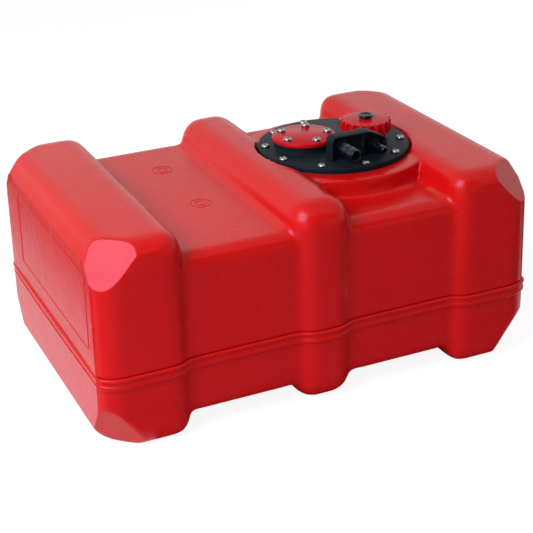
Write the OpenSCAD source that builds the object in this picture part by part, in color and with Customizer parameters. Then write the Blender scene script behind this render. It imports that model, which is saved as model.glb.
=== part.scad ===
// Fixed boat fuel tank: a hollow moulded shell with a round service flange on top.
// Millimetres, +Z up, origin on the floor under the middle of the tank, +X along its length.

/* [Tank] */
// Length over the two end faces, without the parting bead
tank_l = 498; // [470:1:540]
// Width over the front and back of the bands, without the parting bead
tank_w = 335; // [310:1:370]
// Height of the three raised bands
tank_h = 224; // [210:1:250]
// Wall thickness of the moulding
wall = 5; // [4:0.5:7]
// Width of each end band
end_band_w = 98; // [90:1:110]
// Width of the middle band
mid_band_w = 69; // [60:1:80]
// Depth of the strap valleys below the band tops
top_dip = 27.5; // [20:0.5:32]
// Depth of the strap valleys behind the band fronts
side_dip = 9; // [6:0.5:12]
// Height of the strap valleys above the floor
bottom_dip = 19; // [12:0.5:24]
// Radius of the bands' edges
band_r = 27; // [22:1:29]
// Radius of the valleys' long edges
valley_r = 15; // [10:1:18]
// How far the flat panel on each end stands out of the rounded end
panel_out = 2.5; // [1.5:0.5:3.5]
// How far that panel stays inside the front and back of the bands
panel_side = 12; // [10:0.5:16]
// How far it stays below the top and above the bottom of the bands
panel_drop = 19; // [16:0.5:24]
// Radius of the panel's corners
panel_r = 24; // [18:1:30]
// Reach of the top corner cuts along X, Y and Z
top_cut = [60, 50, 62]; // [45:1:75]
// Reach of the bottom corner cuts along X, Y and Z
bottom_cut = [52, 48, 71]; // [45:1:80]

/* [Parting bead] */
// Height of the bead's lower edge above the floor
bead_z = 73; // [65:1:85]
// Height of the whole bead
bead_h = 13; // [10:0.5:15]
// Height of each of its two outer lips
lip_h = 4.5; // [3:0.5:5]
// How far the lips stand out of the wall
lip_out = 2.8; // [2:0.1:4]
// How far the web between the lips stands out
web_out = 1.4; // [0.5:0.1:1.8]

/* [Flange seat] */
// Shift of the flange from the middle of the right valley, along X
seat_dx = -2.5; // [-5:0.5:5]
// Shift of the flange from the tank's middle, along Y
seat_dy = -3; // [-10:0.5:10]
// Radius of the raised round seat
seat_r = 103; // [98:1:108]
// Depth of the seat below the band tops
seat_drop = 7; // [5:0.5:9]
// Thickness of the seat
seat_t = 14; // [12:0.5:18]
// Gap between the plate's edge and the pocket in the bands
pocket_gap = 3; // [1:0.5:5]
// Radius of the opening under the plate
mouth_r = 66; // [64:0.5:67]

/* [Flange] */
// Radius of the plate
plate_r = 84.4; // [84:0.2:86]
// Thickness of the plate
plate_t = 5; // [4:0.5:7]
// Bevel of the plate's top edge
plate_bevel = 1; // [0.5:0.1:1.5]
// Thickness of the gasket under the plate
gasket_t = 1.5; // [1:0.25:2]
// Number of flange screws
flange_screw_n = 10; // [8:1:10]
// Radius of the flange screw circle
flange_pcr = 76; // [75.5:0.1:76.5]
// Angle of the first flange screw
flange_turn = -90; // [-100:1:-80]

/* [Screws] */
// Shank radius of every screw
shank_r = 2.45; // [2.2:0.05:2.6]
// Head radius of every screw
head_r = 4.6; // [4.2:0.1:4.8]
// Head height of every screw
head_h = 3; // [2.4:0.1:3.4]
// Height of a head's straight rim
head_rim = 1.5; // [1:0.1:2]
// Radius of the flat on top of a head
head_flat_r = 3.1; // [2.8:0.1:3.8]
// Depth of the cross recess in a head
recess_d = 1.5; // [1:0.1:1.8]
// Width of the cross recess
recess_w = 1.1; // [0.8:0.1:1.3]
// Length of the cross recess
recess_l = 4.6; // [4:0.1:5]
// Wall of a brass insert round its screw
insert_wall = 1.1; // [0.9:0.1:1.6]
// Length of a flange insert
flange_insert_l = 9; // [7:0.5:10]
// Length of a sender insert
sender_insert_l = 6; // [5:0.5:7]
// Radial gap round a shank in its insert
shank_gap = 0.05; // [0.02:0.01:0.08]
// Radial gap round a shank in a plate, gasket or washer
hole_gap = 0.3; // [0.2:0.05:0.5]
// Radial gap round a piece that is pushed into its hole
push_gap = 0.03; // [0.01:0.01:0.05]

/* [Sender opening] */
// Place of the sender opening from the flange centre, along X
sender_dx = -32.2; // [-33:0.1:-31]
// Place of the sender opening from the flange centre, along Y
sender_dy = 8.4; // [7:0.1:10]
// Radius of the opening
sender_bore_r = 20; // [18:0.5:21]
// Radius of the cover disc
cover_r = 35.5; // [34.5:0.1:36]
// Thickness of the cover disc
cover_t = 4.5; // [3.5:0.5:5]
// Radius of the collar under it
collar_r = 33.5; // [33:0.1:34]
// Height of the collar
collar_h = 6.5; // [6:0.5:8]
// Number of cover screws
sender_screw_n = 5; // [4:1:6]
// Radius of the cover screw circle
sender_pcr = 27; // [26.5:0.1:27.5]
// Angle of the first cover screw
sender_turn = 60; // [50:1:70]
// Radius of the washers under the cover screws
washer_r = 5.2; // [5:0.1:5.6]
// Thickness of those washers
washer_t = 0.8; // [0.6:0.1:1.2]

/* [Filler] */
// Place of the filler neck from the flange centre, along X
cap_dx = 40.2; // [39.5:0.1:40.5]
// Place of the filler neck from the flange centre, along Y
cap_dy = -1.5; // [-3:0.1:1]
// Inside radius of the neck
neck_bore_r = 19; // [17:0.5:19.5]
// Outside radius of the neck
neck_r = 22; // [21.5:0.1:22.4]
// How far the screw ridges stand out of the neck
ridge_out = 1.2; // [0.8:0.1:1.4]
// Width of a screw ridge
ridge_w = 1.6; // [1:0.1:2]
// Distance from the neck's top to its upper ridge
ridge_top = 3.2; // [2.5:0.1:4]
// Distance between the two ridges
ridge_pitch = 4.8; // [4:0.1:6]
// Height of the cap's lower edge above the plate
cap_z = 8.5; // [7:0.5:11]
// Outside radius of the cap
cap_r = 28.2; // [27.8:0.1:28.6]
// Height of the cap
cap_h = 14; // [13:0.5:16]
// Thickness of the cap's top
cap_top_t = 3; // [2.5:0.5:4]
// Inside radius of the cap
cap_bore_r = 24.2; // [24.1:0.1:24.6]
// Number of grip scallops round the cap
scallop_n = 18; // [14:1:22]
// Radius of a scallop
scallop_r = 3.2; // [2.6:0.1:3.6]
// Depth of a scallop
scallop_d = 1.4; // [1:0.1:1.6]
// Thickness of the cap's gasket
cap_gasket_t = 2; // [1.5:0.5:2.5]
// Thickness of the ring that backs the gasket
liner_t = 1; // [0.8:0.1:1.2]
// Inside radius of that ring
liner_bore_r = 15; // [12:0.5:17]
// Gap between the gasket's edge and the cap
gasket_gap = 0.4; // [0.3:0.1:0.6]

/* [Air vent] */
// Radius of the knob
knob_r = 8.2; // [7.5:0.1:9]
// Height of the knob
knob_h = 3.4; // [3:0.1:5]
// Bevel of the knob's top edge
knob_bevel = 0.8; // [0.4:0.1:1]
// Radius of the knob's stem
stem_r = 2.5; // [2.2:0.1:3]
// Radial gap round the stem in the cap
stem_gap = 0.08; // [0.05:0.01:0.1]
// How far the stem reaches below the cap's top
stem_tail = 6; // [5:0.5:6.5]
// Radius of the vent seal
vent_seal_r = 5.5; // [5:0.1:6]
// Thickness of the vent seal
vent_seal_t = 0.8; // [0.6:0.1:1.2]
// Travel of the knob when it is opened
vent_travel = 2.5; // [2:0.1:3]
// Radius of the retaining clip
clip_r = 4.2; // [3.8:0.1:5]
// Thickness of the retaining clip
clip_t = 0.8; // [0.6:0.1:1]
// Depth of the clip's groove in the stem
clip_groove = 0.6; // [0.4:0.05:0.8]
// Gap left above the clip when the knob is fully open
clip_gap = 0.5; // [0.3:0.1:0.8]

/* [Outlet block] */
// Left end of the block from the flange centre
block_x0 = -30.2; // [-31:0.1:-29.5]
// Right end of the block from the flange centre
block_x1 = 37; // [36.5:0.1:38]
// Front of the block from the flange centre
block_front = -56.2; // [-56.3:0.1:-55]
// Depth of the block
block_d = 15; // [14:0.5:16]
// Height of the block
block_h = 27; // [26:0.5:30]
// Where the block's top starts to slope
block_bend = 17; // [14:0.5:20]
// Height of the block at its right end
block_low = 17; // [16:0.5:19]
// Radius of the block's upper corners
block_r = 7; // [5:0.5:8]
// Wall round the two bays
bay_wall = 2.5; // [2:0.1:3]
// Middle of the wall between the bays, from the flange centre
bay_split = 9; // [7:0.5:10]
// Depth of the bays
bay_d = 6; // [5:0.5:7]
// Radius of the elbow behind the fuel outlet
fuel_elbow_r = 8; // [7.5:0.1:9]
// Radius of the elbow behind the vent outlet
vent_elbow_r = 6; // [5.5:0.1:6.5]

/* [Hose tails] */
// Place of the fuel tail from the flange centre
fuel_dx = -17.8; // [-19:0.1:-16]
// Height of the fuel tail above the plate
fuel_z = 15; // [14:0.1:16]
// Radius of the fuel tail's lands
fuel_land_r = 7.2; // [6.6:0.1:7.4]
// Radius of the fuel tail's bore
fuel_bore_r = 4.6; // [4:0.1:4.8]
// Width of the fuel tail's hexagon across flats
fuel_hex_w = 16; // [15:0.5:16.5]
// Length of the fuel tail in front of its hexagon
fuel_tail_l = 33; // [28:0.5:34]
// Place of the vent tail from the flange centre
vent_dx = 21.8; // [20:0.1:23]
// Height of the vent tail above the plate
vent_z = 11.5; // [10.5:0.1:12]
// Radius of the vent tail's lands
vent_land_r = 4.2; // [3.8:0.1:4.4]
// Radius of the vent tail's bore
vent_bore_r = 2.2; // [1.8:0.1:2.4]
// Width of the vent tail's hexagon across flats
vent_hex_w = 12; // [11:0.5:13]
// Length of the vent tail in front of its hexagon
vent_tail_l = 24; // [20:0.5:26]
// Thickness of both hexagons
hex_t = 4.5; // [4:0.5:5]
// Depth of the grooves between the lands
groove_d = 0.8; // [0.5:0.1:1]
// Width of the grooves between the lands
groove_w = 1.5; // [1:0.1:2]
// Length of the taper at a tail's end
tip_l = 3; // [2:0.5:4]
// Number of lands on each tail
land_n = 3; // [2:1:4]
// Wall of a tail's stub round its bore
stub_wall = 1; // [0.8:0.1:1.2]
// Length of the stub in the block
stub_l = 5; // [4:0.5:6]
// Thickness of the washers behind the hexagons
tail_seal_t = 1; // [0.8:0.1:1.2]
// How far those washers reach beyond the stub
tail_seal_w = 1.3; // [1.1:0.1:2]

/* [Pickup] */
// Outside radius of the pickup tube
pickup_r = 5; // [4.5:0.1:5.5]
// Wall of the pickup tube
pickup_wall = 1.5; // [1:0.1:1.8]
// Wall of its socket under the plate
socket_wall = 2.5; // [2:0.1:3]
// Length of the socket
socket_l = 16; // [14:0.5:18]
// Length of the tube inside the socket
socket_hold = 12; // [10:0.5:13]
// Radius of the strainer
strainer_r = 9; // [8:0.1:11]
// Height of the strainer
strainer_h = 28; // [24:1:34]
// Wall of the strainer
strainer_wall = 1.4; // [1:0.1:1.8]
// Height of the strainer's upper collar
strainer_collar = 6; // [5:0.5:8]
// Gap between the strainer and the tank's bottom
strainer_lift = 3; // [2:0.5:6]
// Number of slots round the strainer
strainer_slot_n = 8; // [6:1:10]
// Width of a strainer slot
strainer_slot_w = 2; // [1.5:0.1:2.5]
// Distance from a slot to the strainer's floor and collar
slot_edge = 2.8; // [2:0.1:4]
// How far the tube reaches below the strainer's collar
tube_reach = 6; // [4:0.5:8]

/* [Hidden] */
$fn = 32;
over = 1;
cut_block = 220;
form_steps = [0:18:90];
slab_t = 0.25;
min_r = 3;
seat_skirt = 12;
valley_w = (tank_l - 2 * end_band_w - mid_band_w) / 2;
valley_x = (mid_band_w + valley_w) / 2;
flange_x = valley_x + seat_dx;
flange_y = seat_dy;
ledge_z = tank_h - seat_drop;
skirt_z = tank_h - top_dip - wall - seat_skirt;
plate_z = ledge_z + gasket_t;
top_z = plate_z + plate_t;
insert_r = shank_r + shank_gap + insert_wall;
hole_r = shank_r + hole_gap;
flange_shank_l = plate_t + gasket_t + flange_insert_l;
collar_z = top_z + collar_h;
cover_z = collar_z + gasket_t;
cover_top_z = cover_z + cover_t;
sender_shank_l = washer_t + cover_t + gasket_t + sender_insert_l;
cap_base_z = top_z + cap_z;
roof_z = cap_base_z + cap_h - cap_top_t;
neck_top_z = roof_z - liner_t - cap_gasket_t;
cap_top_z = cap_base_z + cap_h;
gasket_r = cap_bore_r - gasket_gap;
clip_z = roof_z - vent_travel - clip_gap;
block_y = flange_y + block_front;
block_back = block_y + block_d;
bay_y = block_y + bay_d;
fuel_stub_r = fuel_bore_r + stub_wall;
vent_stub_r = vent_bore_r + stub_wall;
fuel_x = flange_x + fuel_dx;
vent_x = flange_x + vent_dx;
socket_z = plate_z - socket_l;
strainer_z = bottom_dip + wall + strainer_lift;
tube_z = strainer_z + strainer_h - strainer_collar - tube_reach;

function ease(t) = 1 - cos(t);
function unit(v) = v / norm(v);
function half_angle(a, b, c) = acos(unit(a - b) * unit(c - b)) / 2;
function tangent(a, b, c, r) = r / tan(half_angle(a, b, c));
function fillet_at(a, b, c, r) = b + unit(unit(a - b) + unit(c - b)) * r / sin(half_angle(a, b, c));

// Ring of places round a centre
module ring_of(n, r, turn = 0) {
  for (i = [0:n - 1]) rotate(turn + i * 360 / n) translate([r, 0, 0]) children();
}

// Flat ring
module washer(r, bore, t) {
  difference() {
    cylinder(r = r, h = t);
    translate([0, 0, -over]) cylinder(r = bore, h = t + 2 * over);
  }
}

// Outline of a convex shape with a radius at each corner that has one
module rounded(pts, radii) {
  n = len(pts);
  polygon([for (i = [0:n - 1])
    let (a = pts[(i + n - 1) % n], b = pts[i], c = pts[(i + 1) % n], r = radii[i])
    each r > 0
      ? [b + unit(a - b) * tangent(a, b, c, r), b + unit(c - b) * tangent(a, b, c, r)]
      : [b]]);
  for (i = [0:n - 1])
    if (radii[i] > 0)
      translate(fillet_at(pts[(i + n - 1) % n], pts[i], pts[(i + 1) % n], radii[i])) circle(radii[i]);
}

// Cross-section of the tank in Y and Z
module section(w, lo, hi, r) {
  translate([-w / 2 + r, lo]) square([w - 2 * r, hi - lo]);
  translate([-w / 2, lo + r]) square([w, hi - lo - 2 * r]);
  for (y = [-w / 2 + r, w / 2 - r], z = [lo + r, hi - r]) translate([y, z]) circle(r);
}

// Cross-section carried along X
module run(x, l) {
  translate([x, 0, 0]) rotate([90, 0, 90]) linear_extrude(l) children();
}

// Section of a band at an angle round its edge, 0 on its top and 90 on its end
module band_slab(x, t, inset) {
  r = band_r - inset;
  drop = inset + r * ease(t);
  run(x, slab_t) section(tank_w - 2 * drop, drop, tank_h - drop, max(min_r, r * cos(t)));
}

// Raised band with all its edges rounded, from x0 to x1
module band(x0, x1, inset) {
  r = band_r - inset;
  hull() for (t = form_steps) {
    band_slab(x0 + inset + r * (1 - sin(t)), t, inset);
    band_slab(x1 - inset - r * (1 - sin(t)) - slab_t, t, inset);
  }
}

// Flat panel on the right end
module end_panel() {
  run(tank_l / 2 - panel_out - wall, panel_out + wall)
    section(tank_w - 2 * panel_side, panel_drop, tank_h - panel_drop, panel_r);
}

// Flat cut across one corner of the tank
module corner_cut(sx, sy, sz, cut, inset) {
  n = unit([sx / cut.x, sy / cut.y, sz / cut.z]);
  at = [sx * (tank_l / 2 - cut.x), sy * tank_w / 2, sz > 0 ? tank_h : 0];
  translate(at - n * inset)
    rotate([0, acos(n.z), atan2(n.y, n.x)])
      translate([-cut_block / 2, -cut_block / 2, 0]) cube(cut_block);
}

// The tank's form without its seat, drawn in from the outside by the inset
module tank_form(inset) {
  difference() {
    union() {
      band(-mid_band_w / 2, mid_band_w / 2, inset);
      for (s = [0, 1]) mirror([s, 0, 0]) band(tank_l / 2 - end_band_w, tank_l / 2 - panel_out, inset);
      if (inset == 0) for (s = [0, 1]) mirror([s, 0, 0]) end_panel();
      run(-tank_l / 2 + end_band_w / 2, tank_l - end_band_w)
        section(
          tank_w - 2 * (side_dip + inset),
          bottom_dip + inset,
          tank_h - top_dip - inset,
          valley_r - inset
        );
    }
    for (sx = [-1, 1], sy = [-1, 1]) {
      corner_cut(sx, sy, 1, top_cut, inset);
      corner_cut(sx, sy, -1, bottom_cut, inset);
    }
  }
}

// Plan of the bands and valleys, grown outwards; at the ends it lies halfway into the panel
module plan(grow) {
  half_w = tank_w / 2 + grow;
  r = band_r + grow;
  for (x = [
    [-tank_l / 2 + panel_out / 2, -tank_l / 2 + end_band_w],
    [-mid_band_w / 2, mid_band_w / 2],
    [tank_l / 2 - end_band_w, tank_l / 2 - panel_out / 2]
  ])
    rounded([
      [x[0] - grow, -half_w],
      [x[1] + grow, -half_w],
      [x[1] + grow, half_w],
      [x[0] - grow, half_w]
    ], [r, r, r, r]);
  square([tank_l - end_band_w, tank_w - 2 * side_dip + 2 * grow], center = true);
}

module parting_bead() {
  for (z = [bead_z, bead_z + bead_h - lip_h]) translate([0, 0, z]) linear_extrude(lip_h) plan(lip_out);
  translate([0, 0, bead_z]) linear_extrude(bead_h) plan(web_out);
}

module at_flange(z) {
  translate([flange_x, flange_y, z]) children();
}

module at_flange_screws(z) {
  at_flange(z) ring_of(flange_screw_n, flange_pcr, flange_turn) children();
}

module at_sender(z) {
  at_flange(z) translate([sender_dx, sender_dy, 0]) children();
}

module at_sender_screws(z) {
  at_sender(z) ring_of(sender_screw_n, sender_pcr, sender_turn) children();
}

module at_cap(z) {
  at_flange(z) translate([cap_dx, cap_dy, 0]) children();
}

// Hollow inside of the tank, up to the underside of the seat
module tank_cavity() {
  difference() {
    tank_form(wall);
    at_flange(ledge_z - seat_t) cylinder(r = seat_r - wall / 2, h = seat_t + seat_drop);
  }
  at_flange(skirt_z) cylinder(r = seat_r - wall, h = ledge_z - seat_t - over - skirt_z);
}

module tank_shell() {
  color("firebrick") difference() {
    union() {
      tank_form(0);
      parting_bead();
      at_flange(tank_h - top_dip - wall) cylinder(r = seat_r, h = top_dip + wall - seat_drop);
    }
    tank_cavity();
    at_flange(ledge_z) cylinder(r = plate_r + pocket_gap, h = seat_drop + over);
    at_flange(ledge_z - seat_t - over) cylinder(r = mouth_r, h = seat_t + 2 * over);
    at_flange_screws(ledge_z - flange_insert_l)
      cylinder(r = insert_r + push_gap, h = flange_insert_l + over);
  }
}

module flange_inserts() {
  color("goldenrod") at_flange_screws(ledge_z - flange_insert_l)
    washer(insert_r, shank_r + shank_gap, flange_insert_l);
}

module flange_gasket() {
  color("dimgray") difference() {
    at_flange(ledge_z) washer(plate_r - plate_bevel, mouth_r, gasket_t);
    at_flange_screws(ledge_z - over) cylinder(r = hole_r, h = gasket_t + 2 * over);
  }
}

// Outline of the outlet block, drawn in by the wall of its bays
module block_outline(inset) {
  rounded([
    [block_x0 + inset, 0],
    [block_x1 - inset, 0],
    [block_x1 - inset, block_low - inset],
    [block_bend, block_h - inset],
    [block_x0 + inset, block_h - inset]
  ], [0, 0, block_r - inset, block_r, block_r - inset]);
}

module outlet_block() {
  translate([flange_x, block_back, top_z]) rotate([90, 0, 0]) difference() {
    linear_extrude(block_d) block_outline(0);
    translate([0, 0, block_d - bay_d]) linear_extrude(bay_d + over) difference() {
      block_outline(bay_wall);
      translate([bay_split - bay_wall / 2, -over]) square([bay_wall, block_h + 2 * over]);
    }
  }
  translate([fuel_x, block_back, top_z]) cylinder(r = fuel_elbow_r, h = fuel_z + fuel_elbow_r);
  translate([vent_x, block_back, top_z]) cylinder(r = vent_elbow_r, h = vent_z + vent_elbow_r);
}

// Way through the block from a tail's stub to the underside of the plate
module elbow_way(x, z, bore, stub) {
  translate([x, bay_y + stub_l, top_z + z]) rotate([90, 0, 0])
    cylinder(r = stub + push_gap, h = stub_l + over);
  translate([x, block_back, top_z + z]) rotate([90, 0, 0]) cylinder(r = bore, h = block_back - bay_y);
  translate([x, block_back, socket_z]) cylinder(r = bore, h = top_z + z - socket_z);
}

module neck() {
  translate([0, 0, plate_z]) cylinder(r = neck_r, h = neck_top_z - plate_z);
  for (down = [ridge_top, ridge_top + ridge_pitch])
    translate([0, 0, neck_top_z - down]) cylinder(r = neck_r + ridge_out, h = ridge_w);
}

module flange_plate() {
  color("black") difference() {
    union() {
      at_flange(plate_z) cylinder(r = plate_r, h = plate_t - plate_bevel);
      at_flange(top_z - plate_bevel) cylinder(r1 = plate_r, r2 = plate_r - plate_bevel, h = plate_bevel);
      at_sender(top_z) cylinder(r = collar_r, h = collar_h);
      at_cap(0) neck();
      outlet_block();
      translate([fuel_x, block_back, socket_z]) cylinder(r = pickup_r + socket_wall, h = socket_l);
    }
    at_flange_screws(plate_z - over) cylinder(r = hole_r, h = plate_t + 2 * over);
    at_sender(plate_z - over) cylinder(r = sender_bore_r, h = plate_t + collar_h + 2 * over);
    at_sender_screws(collar_z - sender_insert_l)
      cylinder(r = insert_r + push_gap, h = sender_insert_l + over);
    at_cap(plate_z - over) cylinder(r = neck_bore_r, h = neck_top_z - plate_z + 2 * over);
    elbow_way(fuel_x, fuel_z, pickup_r - pickup_wall, fuel_stub_r);
    elbow_way(vent_x, vent_z, vent_bore_r, vent_stub_r);
    translate([fuel_x, block_back, socket_z - over])
      cylinder(r = pickup_r + push_gap, h = socket_hold + over);
  }
}

// Pan-head screw with a cross recess, its head resting on Z = 0
module pan_screw(shank_l) {
  difference() {
    union() {
      cylinder(r = head_r, h = head_rim);
      translate([0, 0, head_rim]) cylinder(r1 = head_r, r2 = head_flat_r, h = head_h - head_rim);
      translate([0, 0, -shank_l]) cylinder(r = shank_r, h = shank_l + head_rim);
    }
    for (a = [0, 90]) rotate(a)
      translate([-recess_l / 2, -recess_w / 2, head_h - recess_d])
        cube([recess_l, recess_w, recess_d + over]);
  }
}

module flange_screws() {
  color("silver") at_flange_screws(top_z) pan_screw(flange_shank_l);
}

module sender_inserts() {
  color("goldenrod") at_sender_screws(collar_z - sender_insert_l)
    washer(insert_r, shank_r + shank_gap, sender_insert_l);
}

module sender_holes(z, h) {
  at_sender_screws(z - over) cylinder(r = hole_r, h = h + 2 * over);
}

module sender_gasket() {
  color("dimgray") difference() {
    at_sender(collar_z) washer(collar_r, sender_bore_r, gasket_t);
    sender_holes(collar_z, gasket_t);
  }
}

module sender_cover() {
  color("red") difference() {
    at_sender(cover_z) cylinder(r = cover_r, h = cover_t);
    sender_holes(cover_z, cover_t);
  }
}

module sender_washers() {
  color("silver") at_sender_screws(cover_top_z) washer(washer_r, hole_r, washer_t);
}

module sender_screws() {
  color("silver") at_sender_screws(cover_top_z + washer_t) pan_screw(sender_shank_l);
}

module cap_gasket() {
  color("dimgray") at_cap(neck_top_z) washer(gasket_r, neck_bore_r, cap_gasket_t);
}

module cap_liner() {
  color("white") at_cap(roof_z - liner_t) washer(gasket_r, liner_bore_r, liner_t);
}

module filler_cap() {
  color("red") at_cap(cap_base_z) difference() {
    cylinder(r = cap_r, h = cap_h);
    translate([0, 0, -over]) cylinder(r = cap_bore_r, h = cap_h - cap_top_t + over);
    cylinder(r = stem_r + stem_gap, h = cap_h + over);
    ring_of(scallop_n, cap_r + scallop_r - scallop_d)
      translate([0, 0, -over]) cylinder(r = scallop_r, h = cap_h - cap_top_t / 2 + over);
  }
}

module vent_seal() {
  color("dimgray") at_cap(cap_top_z) washer(vent_seal_r, stem_r + stem_gap, vent_seal_t);
}

module vent_knob() {
  color("black") at_cap(cap_top_z + vent_seal_t) difference() {
    union() {
      cylinder(r = knob_r, h = knob_h - knob_bevel);
      translate([0, 0, knob_h - knob_bevel])
        cylinder(r1 = knob_r, r2 = knob_r - knob_bevel, h = knob_bevel);
      translate([0, 0, -vent_seal_t - cap_top_t - stem_tail])
        cylinder(r = stem_r, h = vent_seal_t + cap_top_t + stem_tail + over);
    }
    translate([0, 0, clip_z - clip_t - cap_top_z - vent_seal_t])
      washer(stem_r + over, stem_r - clip_groove, clip_t);
  }
}

module vent_retainer() {
  color("silver") at_cap(clip_z - clip_t) washer(clip_r, stem_r - clip_groove + push_gap, clip_t);
}

// Hose tail along +Z: stub below Z = 0, hexagon, then lands with grooves and a tapered tip
module hose_tail(land_r, bore, hex_w, tail_l, stub) {
  pitch = (tail_l - tip_l) / land_n;
  back = -tail_seal_t - stub_l;
  difference() {
    union() {
      translate([0, 0, back]) cylinder(r = stub, h = over - back);
      cylinder(r = hex_w / sqrt(3), h = hex_t, $fn = 6);
      translate([0, 0, hex_t]) cylinder(r = land_r - groove_d, h = tail_l - tip_l);
      for (i = [0:land_n - 1])
        translate([0, 0, hex_t + i * pitch + groove_w]) cylinder(r = land_r, h = pitch - groove_w);
      translate([0, 0, hex_t + tail_l - tip_l]) cylinder(r1 = land_r, r2 = land_r - groove_d, h = tip_l);
    }
    translate([0, 0, back - over]) cylinder(r = bore, h = hex_t + tail_l - back + 2 * over);
  }
}

// Place on a bay's back wall, facing the front
module at_bay(x, z, out) {
  translate([x, bay_y - out, top_z + z]) rotate([90, 0, 0]) children();
}

module fuel_barb() {
  color("black") at_bay(fuel_x, fuel_z, tail_seal_t)
    hose_tail(fuel_land_r, fuel_bore_r, fuel_hex_w, fuel_tail_l, fuel_stub_r);
}

module fuel_barb_seal() {
  color("dimgray") at_bay(fuel_x, fuel_z, 0)
    washer(fuel_stub_r + tail_seal_w, fuel_stub_r + push_gap, tail_seal_t);
}

module vent_barb() {
  color("black") at_bay(vent_x, vent_z, tail_seal_t)
    hose_tail(vent_land_r, vent_bore_r, vent_hex_w, vent_tail_l, vent_stub_r);
}

module vent_barb_seal() {
  color("dimgray") at_bay(vent_x, vent_z, 0)
    washer(vent_stub_r + tail_seal_w, vent_stub_r + push_gap, tail_seal_t);
}

module pickup_tube() {
  color("black") translate([fuel_x, block_back, tube_z])
    washer(pickup_r, pickup_r - pickup_wall, socket_z + socket_hold - tube_z);
}

module pickup_strainer() {
  color("white") translate([fuel_x, block_back, strainer_z]) difference() {
    cylinder(r = strainer_r, h = strainer_h);
    translate([0, 0, strainer_wall])
      cylinder(r = strainer_r - strainer_wall, h = strainer_h - strainer_wall - strainer_collar);
    translate([0, 0, strainer_wall]) cylinder(r = pickup_r + push_gap, h = strainer_h);
    ring_of(strainer_slot_n, strainer_r)
      translate([-strainer_wall - over, -strainer_slot_w / 2, slot_edge])
        cube([strainer_wall + 2 * over, strainer_slot_w, strainer_h - strainer_collar - 2 * slot_edge]);
  }
}

tank_shell();
flange_inserts();
flange_gasket();
flange_plate();
flange_screws();
sender_inserts();
sender_gasket();
sender_cover();
sender_washers();
sender_screws();
cap_gasket();
cap_liner();
filler_cap();
vent_seal();
vent_knob();
vent_retainer();
fuel_barb();
fuel_barb_seal();
vent_barb();
vent_barb_seal();
pickup_tube();
pickup_strainer();
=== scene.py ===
# Fixed boat fuel tank: the visible pieces, their finishes and the studio, laid out as an add-on.
from contextlib import contextmanager
from math import cos, radians, sin, sqrt, tan, tau

import bmesh
import bpy
from bpy.props import FloatProperty, FloatVectorProperty, IntProperty, PointerProperty
from bpy.types import Operator, Panel, PropertyGroup
from mathutils import Matrix, Vector


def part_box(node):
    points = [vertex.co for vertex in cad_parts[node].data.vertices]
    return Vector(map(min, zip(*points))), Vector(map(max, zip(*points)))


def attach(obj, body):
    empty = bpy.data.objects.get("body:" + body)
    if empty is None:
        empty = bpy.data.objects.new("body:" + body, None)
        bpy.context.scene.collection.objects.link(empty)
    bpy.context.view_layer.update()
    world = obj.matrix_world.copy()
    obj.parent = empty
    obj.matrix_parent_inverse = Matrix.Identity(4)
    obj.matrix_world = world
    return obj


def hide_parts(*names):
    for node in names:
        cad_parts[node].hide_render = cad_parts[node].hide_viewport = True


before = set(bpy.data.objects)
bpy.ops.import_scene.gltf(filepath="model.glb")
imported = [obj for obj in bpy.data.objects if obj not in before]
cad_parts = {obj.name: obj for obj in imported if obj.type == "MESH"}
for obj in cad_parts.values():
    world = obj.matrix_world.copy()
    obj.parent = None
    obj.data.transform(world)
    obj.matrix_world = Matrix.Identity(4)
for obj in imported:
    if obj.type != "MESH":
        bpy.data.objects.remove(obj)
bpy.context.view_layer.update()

bl_info = {
    "name": "Boat fuel tank",
    "version": (1, 0, 0),
    "blender": (4, 5, 0),
    "location": "3D View > Sidebar > Fuel tank",
    "description": "Builds a red moulded fuel tank with its service flange, filler cap and hose tails",
    "category": "Object",
}

PHOTO_SIDE = 533
UP = Vector((0, 0, 1))
FRONT = Vector((0, -1, 0))
TOUCH = 0.001  # what lies nearer than this to a plane counts as on it
OVER = 0.001  # how far a cutting tool reaches past what it cuts


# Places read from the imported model
def low_of(node):
    return Vector(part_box(node)[0])


def high_of(node):
    return Vector(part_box(node)[1])


def middle_of(node):
    return (low_of(node) + high_of(node)) / 2


def ends_of(node):
    """Lowest and highest Z of a node"""
    return low_of(node).z, high_of(node).z


def under(node):
    """Point on the floor under a node's middle"""
    return middle_of(node).to_2d().to_3d()


FLANGE = under("flange_gasket")
SENDER = under("sender_cover")
FILLER = under("cap_gasket")
LEDGE_Z, PLATE_Z = ends_of("flange_gasket")
COLLAR_Z = low_of("sender_gasket").z
NECK_Z = low_of("cap_gasket").z
FUEL_TAIL = middle_of("fuel_barb")
VENT_TAIL = middle_of("vent_barb")

# Plain lines moulded on the tank: ring middles in X and Y, border corners in Y and Z
MOULD_RINGS = ((-0.0857, 0.0757), (-0.0846, -0.0367))
RING_RADII = (0.011, 0.0058)
RING_STEPS = 48
BORDER = ((0.103, 0.188), (-0.1355, 0.188), (-0.1355, 0.108), (0.103, 0.108))
BORDER_R = 0.004
LINE_R = 0.0005


# Kinds of setting
def length(name, description, default):
    return FloatProperty(name=name, description=description, default=default, unit="LENGTH",
                         subtype="DISTANCE", min=0, precision=4)


def lengths(name, description, default):
    return FloatVectorProperty(name=name, description=description, default=default, size=3,
                               unit="LENGTH", subtype="XYZ", precision=4)


def angle(name, description, default):
    return FloatProperty(name=name, description=description, default=radians(default),
                         unit="ROTATION", subtype="ANGLE")


def number(name, description, default):
    return FloatProperty(name=name, description=description, default=default, min=0, precision=3)


def count(name, description, default, low, high):
    return IntProperty(name=name, description=description, default=default, min=low, max=high)


def colour(name, description, default):
    return FloatVectorProperty(name=name, description=description, default=default, size=3,
                               subtype="COLOR", min=0, max=1)


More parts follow.
